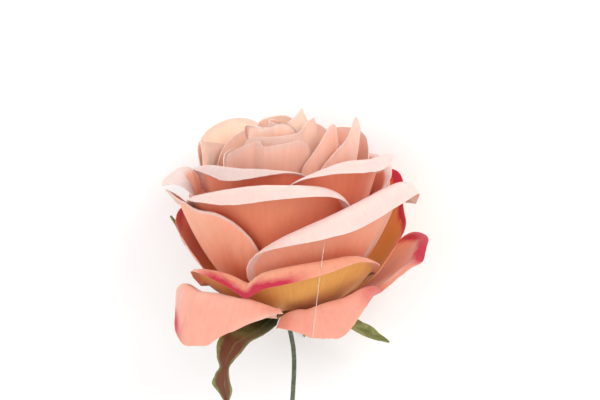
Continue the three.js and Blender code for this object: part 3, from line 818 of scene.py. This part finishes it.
flat = bench.vector(t * 0.3, s * 2.0, 0.0)
rough = bench.out("ShaderNodeTexNoise", 0, flat, noise_dimensions="4D",
                  inputs={"W": given["Seed"], "Scale": 3.0, "Detail": 3.0}) - 0.5
along_edge = bench.vector(s * 6.0, given["Seed"], t)
notch = bench.out("ShaderNodeTexNoise", 0, along_edge, inputs={"Scale": 2.0}) - 0.5
half = spine.part("Z") * (1.0 + notch * 0.35)
middle_vein = bench.maths("MAXIMUM", 1.0 - bench.maths("ABSOLUTE", t) * 7.0, 0.0) * given["Vein"] * 1.4
slant = s * 34.0 - bench.maths("ABSOLUTE", t) * 3.5
side_veins = bench.maths("POWER", bench.maths("SINE", slant) * 0.5 + 0.5, 4.0) * given["Vein"] * 0.6
raised = given["Camber"] * half * t * t - middle_vein - side_veins + rough * given["Crumple"] * 2.0
middle = outward * spine.part("X") + upward * spine.part("Y")
bent = middle + flat_way * (t * half) + side * (given["Sway"] * s * s) + raised_way * raised

# %% Notes and material
# The flat cloth is taken as equally large for all five, so the weave is a little wider on large ones.
HALF_BLADE, BLADE_LENGTH = 5.0, 40.0
cloth = bench.vector(t * HALF_BLADE, s * BLADE_LENGTH, given["Seed"])
noted = write_cloth_notes(bench, grid, cloth, {"from_foot": s, "across": t, "dye": given["Dye"]})
blade = bench.out("GeometryNodeSetPosition", 0, noted, inputs={"Position": bent})
CLOTH_SEPAL = finish_piece(bench, blade, given["Material"])

# %% [markdown]
# The sepal cloth is olive green, paler along the veins and darker between them. The ones painted brown go
# from a darker green at the foot, which is painted shade under the petals, to a red brown, which leaves an
# olive margin.

# %% Sepal cloth
SEPAL_FOOT_SHADE = (0.035, 0.05, 0.008)
GREEN = (0.15, 0.17, 0.045)
GREEN_PALE = (0.28, 0.29, 0.11)
BROWN = (0.17, 0.055, 0.028)

sepal_cloth, bench, shader = cloth_bench("sepal_cloth", 0.7, 0.12, (0.9, 1.0, 0.8))
where, from_foot, across_blade, dye = read_notes(bench, "from_foot", "across", "dye")
mottle = cloudy(bench, where, 0.25, 4.0)
beside = bench.maths("ABSOLUTE", across_blade)
body = blend(bench, bench.ramp(mottle, 0.35, 0.65), GREEN, GREEN_PALE)
painted = bench.maths("ABSOLUTE", dye)
# Painted shade: a darker green at the foot of the brown-painted sepals, for the shade under the petals.
body = blend(bench, painted * bench.ramp(from_foot, 0.42, 0.12), body, SEPAL_FOOT_SHADE)
inside_margin = bench.ramp(beside + mottle * 0.4, 1.1, 0.85)
body = blend(bench, painted * inside_margin * bench.ramp(from_foot, 0.3, 0.5), body, BROWN)
vein = bench.ramp(beside, 0.12, 0.02)
body = blend(bench, vein * 0.4, body, GREEN_PALE)
bench.feed(shader.inputs["Base Color"], body)
woven(bench, shader, where, pitch=0.6, depth=0.08)
print("sepal dye:", sepal_cloth.name)

# %% [markdown]
# A sepal's path is a list of distances from the axis and heights in millimetres, from the wire to the
# tip, and its widths are spread evenly along it. Turn twists the blade in degrees, sway carries its tip
# sideways in millimetres, and dye is how strongly it is painted brown; the same dye sets how much painted
# shade darkens its foot.

# %% The five sepals
SEPALS = [
    dict(name="sepal_front_left", facing=-42, dye=1, width=[3, 14, 15, 12, 4.5, 10, 0.6],
         path=[(3, 0.2), (14, -2.5), (26, -4), (32, -10), (33, -18), (31, -28)]),
    dict(name="sepal_right", facing=100, turn=50, width=[3, 9, 7, 5, 0.6],
         path=[(3, 0.2), (12, -2.5), (24, -6), (33, -11), (40, -15)]),
    dict(name="sepal_left", facing=-125, width=[3, 10, 9, 6, 4, 0.6],
         path=[(3, 0.2), (14, -1.5), (25, 1.5), (34.5, 9), (44, 18), (52, 27)]),
    dict(name="sepal_front_right", facing=28, width=[3, 9, 7, 0.6],
         path=[(3, 0.2), (10, -1.5), (18, -1.5), (25, 1)]),
    dict(name="sepal_back", facing=172, sway=-3, dye=0.6, width=[3, 10, 8, 4, 0.6],
         path=[(3, 0.2), (12, -2.5), (22, -7), (30, -14), (34, -23)]),
]
SPINE_POINTS = 13


def even_steps(values):
    """Values at equal steps from the foot to the tip, between the given ones."""
    places = np.linspace(0, len(values) - 1, SPINE_POINTS)
    return np.interp(places, np.arange(len(values)), values)


def in_metres(points):
    return [tuple(x * MM for x in point) for point in points]


def make_sepal(plan, number):
    radii, heights = np.array(plan["path"]).T
    spine = zip(even_steps(radii), even_steps(heights), even_steps(plan["width"]) / 2)
    drawing = line_mesh(plan["name"], in_metres(spine))
    values = {
        "Facing": float(plan["facing"]),
        "Sway": plan.get("sway", 0) * MM,
        "Turn": float(plan.get("turn", 0)),
        "Seed": number * 2.3,
        "Dye": float(plan.get("dye", 0)),
        "Material": sepal_cloth,
    }
    piece = made_of(plan["name"] + "_cloth", drawing, CLOTH_SEPAL, values, CLOTH_THICKNESS)
    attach(piece, "root")
    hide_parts(plan["name"])
    return piece


sepals = [make_sepal(plan, n) for n, plan in enumerate(SEPALS)]
print(len(sepals), "sepals,", sum(len(p.data.polygons) for p in sepals), "faces")

# %% [markdown]
# ## The wire
# The stem is a steel wire in a grey-green coat of stretched paper tape, wound on at a slant, so it shows a
# fine screw line. A tree sweeps a circle along the drawn path and lifts the skin a little where the
# tape laps over itself. The same tree, with other sizes, later makes a hair of glue and the cut end.

# %% The tree that sweeps a wire
TAPE_PITCH = 4.5 * MM  # along the wire from one lap of the tape to the next
WIRE_INPUTS = {
    "Path": None,
    "Material": bpy.types.Material,
    "Radius": 0.00085,
    "Lap": 0.00005,
    "Pitch": TAPE_PITCH,
    "Step": 0.0008,
    "Sides": 20,
}
bench, given = geometry_bench("wound_wire", WIRE_INPUTS)
line = smooth_line(bench, given["Path"], 16)
line = bench.out("GeometryNodeResampleCurve", 0, line, mode="LENGTH", inputs={"Length": given["Step"]})
ring = bench.out("GeometryNodeCurvePrimitiveCircle", 0, given["Sides"], inputs={"Radius": given["Radius"]})
run = bench.node("GeometryNodeSplineParameter")
line = write_note(bench, line, "along", run.outputs["Length"])
ring = write_note(bench, ring, "round", run.outputs["Factor"])
skin = bench.out("GeometryNodeCurveToMesh", 0, line, ring, inputs={"Fill Caps": True})
along, around = [bench.out("GeometryNodeInputNamedAttribute", "Attribute", data_type="FLOAT",
                           inputs={"Name": name}) for name in ("along", "round")]
lap = bench.maths("FRACT", along / given["Pitch"] + around)
outwards = Sum(bench, bench.node("GeometryNodeInputNormal").outputs[0])
uneven = bench.out("ShaderNodeTexNoise", 0, inputs={"Scale": 900.0}) - 0.5
lift = given["Lap"] * (bench.ramp(lap, 0.0, 0.12) + uneven * 0.8)
skin = bench.out("GeometryNodeSetPosition", 0, skin, inputs={"Offset": outwards * lift})
skin = bench.out("GeometryNodeSetShadeSmooth", 0, skin)
WOUND_WIRE = finish_piece(bench, skin, given["Material"])

# %% The tape and the wire itself
# Sizes in millimetres. The path says how far to the side, and what share of the length below the petals.
STEM_LENGTH = 150
WIRE_PATH = [(0.2, 0), (2.6, 0.06), (3.8, 0.13), (3, 0.26), (0, 0.6), (-3, 1)]
WIRE_GRIP = 8  # how far the wire runs up inside the foam
WIRE_RADIUS = 0.8
TAPE_LAP = 0.06


def place_on_piece(bench):
    return Sum(bench, bench.node("ShaderNodeTexCoord").outputs["Object"])


tape, bench, shader = cloth_bench("wire_tape", 0.6, 0.0, (1, 1, 1))
along, around = note(bench, "along"), note(bench, "round")
lap = bench.maths("FRACT", along / TAPE_PITCH + around)
worn = cloudy(bench, place_on_piece(bench), 700.0)
body = blend(bench, bench.ramp(worn, 0.35, 0.7), (0.085, 0.1, 0.062), (0.17, 0.185, 0.13))
body = blend(bench, bench.ramp(lap, 0.1, 0.0) * 0.6, body, (0.05, 0.06, 0.035))
bench.feed(shader.inputs["Base Color"], body)
raise_surface(bench, shader, worn, 0.4, 0.05)

path = [(0, WIRE_GRIP, 0)] + [(x, -share * STEM_LENGTH, 0) for x, share in WIRE_PATH]
stem = made_of("stem_wound_wire", line_mesh("stem", in_metres(path)), WOUND_WIRE,
               {"Material": tape, "Radius": WIRE_RADIUS * MM, "Lap": TAPE_LAP * MM})
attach(stem, "root")
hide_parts("stem_wire")
print("wire:", len(stem.data.polygons), "faces")

# %% [markdown]
# ## Three small things
# A rose from a workshop is never perfectly clean. A hair of clear glue, pulled out when a petal was
# pressed on, hangs from the rolled rim down the front. The wire's cut end shows the bare steel inside
# the tape. Under the petals a small green cup holds the five sepals on the wire.

# %% A hair of glue
THREAD = [(15.2, 48, 38), (14.6, 42.5, 43.2), (13.6, 35, 44.2), (12.4, 25, 44.8), (11.4, 15, 45),
          (10.6, 7.5, 45.2)]
THREAD_SIZES = {"Radius": 0.11 * MM, "Lap": 0.03 * MM, "Pitch": 7 * MM, "Sides": 10}

glue = bpy.data.materials.new("clear_glue")
glue.use_nodes = True
shader = glue.node_tree.nodes["Principled BSDF"]
shader.inputs["Base Color"].default_value = (0.95, 0.93, 0.9, 1.0)
shader.inputs["Roughness"].default_value = 0.15
shader.inputs["Transmission Weight"].default_value = 0.7
shader.inputs["IOR"].default_value = 1.4
bench = Bench(glue.node_tree)
raise_surface(bench, shader, cloudy(bench, place_on_piece(bench), 900.0), 0.3, 0.05)
thread = made_of("glue_thread", line_mesh("thread", in_metres(THREAD)), WOUND_WIRE,
                 {"Material": glue, **THREAD_SIZES})
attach(thread, "root")
print("glue:", len(thread.data.polygons), "faces")

# %% The cut end
# Sizes in millimetres.
STEEL_INSIDE = 4  # how far the steel runs back inside the tape
STEEL_PROUD = 0.4  # how far it stands out past the cut
STEEL_RADIUS = 0.62


def mottled(bench, shader, scale, dark, light):
    """A colour with fine clouds in it."""
    clouds = cloudy(bench, place_on_piece(bench), scale)
    bench.feed(shader.inputs["Base Color"], blend(bench, clouds, dark, light))


steel, bench, shader = cloth_bench("cut_steel", 0.35, 0.0, (1, 1, 1))
shader.inputs["Metallic"].default_value = 1.0
mottled(bench, shader, 3000.0, (0.32, 0.32, 0.33), (0.55, 0.55, 0.56))

end_x = WIRE_PATH[-1][0]
bare = [(end_x, -STEM_LENGTH + STEEL_INSIDE, 0), (end_x, -STEM_LENGTH - STEEL_PROUD, 0)]
cut_end = made_of("stem_steel_end", line_mesh("end", in_metres(bare)), WOUND_WIRE,
                  {"Material": steel, "Radius": STEEL_RADIUS * MM, "Lap": 0.0, "Step": 0.5 * MM})
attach(cut_end, "root")
print("cut end:", len(cut_end.data.polygons), "faces")

# %% The cup under the sepals
CUP_PROFILE = [(1.6, -1.7), (2.0, -1.65), (2.5, -1.3), (2.8, -0.8), (2.8, -0.45), (2.65, -0.35), (1.6, -0.35)]
CUP_SIDES = 32


def turned_ring(name, profile, sides):
    """A closed profile of radii and heights in millimetres, turned about the flower's axis."""
    size = len(profile)
    angles = np.linspace(0, 2 * math.pi, sides, endpoint=False)
    points = [(r * math.sin(a), y, r * math.cos(a)) for a in angles for r, y in profile]
    faces = []
    for here in range(sides):
        there = (here + 1) % sides
        for low in range(size):
            high = (low + 1) % size
            faces.append((here * size + low, here * size + high, there * size + high, there * size + low))
    ring = bpy.data.meshes.new(name)
    ring.from_pydata(in_metres(points), [], faces)
    return ring


cup_green, bench, shader = cloth_bench("cup_green", 0.5, 0.0, (1, 1, 1))
mottled(bench, shader, 500.0, (0.06, 0.085, 0.02), (0.12, 0.15, 0.045))

cup_mesh = turned_ring("calyx_cup_green", CUP_PROFILE, CUP_SIDES)
cup_mesh.transform(FLOWER)
cup_mesh.materials.append(cup_green)
cup_mesh.polygons.foreach_set("use_smooth", [True] * len(cup_mesh.polygons))
cup_mesh.set_sharp_from_angle(angle=math.radians(40))
calyx = bpy.data.objects.new("calyx_cup_green", cup_mesh)
collection.objects.link(calyx)
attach(calyx, "root")
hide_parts("calyx_cup")
print("cup:", len(cup_mesh.polygons), "faces")

# %% [markdown]
# ## The foam bud
# The foam egg that the petals are glued to barely shows between them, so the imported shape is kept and
# only gets its finish: pale foam with fine pores.

# %% Foam
foam, bench, shader = cloth_bench("bud_foam", 0.9, 0.0, (1, 1, 1))
pores = bench.out("ShaderNodeTexVoronoi", "Distance", place_on_piece(bench), inputs={"Scale": 900.0})
body = blend(bench, bench.ramp(pores, 0.0, 0.5), (0.7, 0.6, 0.5), (0.88, 0.83, 0.74))
bench.feed(shader.inputs["Base Color"], body)
raise_surface(bench, shader, pores, 0.5, 0.2)
core_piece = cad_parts["bud_core"]
core_piece.data.materials.clear()
core_piece.data.materials.append(foam)
print("foam on", core_piece.name)

# %% [markdown]
# ## A plain studio
# A pale floor, a large soft light from the upper right and a weaker one from the left. Everything is
# large and soft, so that the folds read by their colour and not by hard shadows.

# %% Floor
HALF_FLOOR = 3.0
corners = [(x * HALF_FLOOR, y * HALF_FLOOR, 0) for x, y in ((-1, -1), (1, -1), (1, 1), (-1, 1))]
floor_mesh = bpy.data.meshes.new("floor")
floor_mesh.from_pydata(corners, [], [(0, 1, 2, 3)])
floor = bpy.data.objects.new("floor", floor_mesh)
collection.objects.link(floor)
floor_look, bench, shader = cloth_bench("pale_floor", 0.9, 0.0, (1, 1, 1))
shader.inputs["Base Color"].default_value = (0.93, 0.93, 0.93, 1)
floor_mesh.materials.append(floor_look)
floor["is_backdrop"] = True
print("floor:", 2 * HALF_FLOOR, "m wide")

# %% Light
BLOOM_MIDDLE = Vector((0, 0.06, 0.03))


def soft_light(name, place, size, power, colour):
    """A round lamp at place that shines at the bloom."""
    lamp = bpy.data.lights.new(name, "AREA")
    lamp.shape = "DISK"
    lamp.size, lamp.energy, lamp.color = size, power, colour
    holder = bpy.data.objects.new(name, lamp)
    collection.objects.link(holder)
    holder.location = place
    holder.rotation_euler = (BLOOM_MIDDLE - Vector(place)).to_track_quat("-Z", "Y").to_euler()


soft_light("key", place=(0.75, 0.75, 1.1), size=0.7, power=7.2, colour=(1.0, 0.985, 0.96))
soft_light("fill", place=(-0.7, 0.3, 1.3), size=1.2, power=4.0, colour=(1.0, 0.99, 0.98))
world = bpy.data.worlds.new("studio")
world.use_nodes = True
world.node_tree.nodes["Background"].inputs["Color"].default_value = (1, 1, 1, 1)
world.node_tree.nodes["Background"].inputs["Strength"].default_value = 1.0
bpy.context.scene.world = world
bpy.context.scene.view_settings.view_transform = "Standard"
print("lamps:", [lamp.name for lamp in bpy.data.lights])

# %% [markdown]
# ## Sizes
# The real pieces can stand a little proud of the plain model. Both boxes are printed, so that they can be
# compared.

# %% Print the sizes
made_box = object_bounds()
boxes = {"cad": [list(corner) for corner in cad_box], "visual": [list(corner) for corner in made_box]}
for name, (low, high) in boxes.items():
    print(name, "box in mm:", [round((h - l) * 1000, 1) for l, h in zip(low, high)])
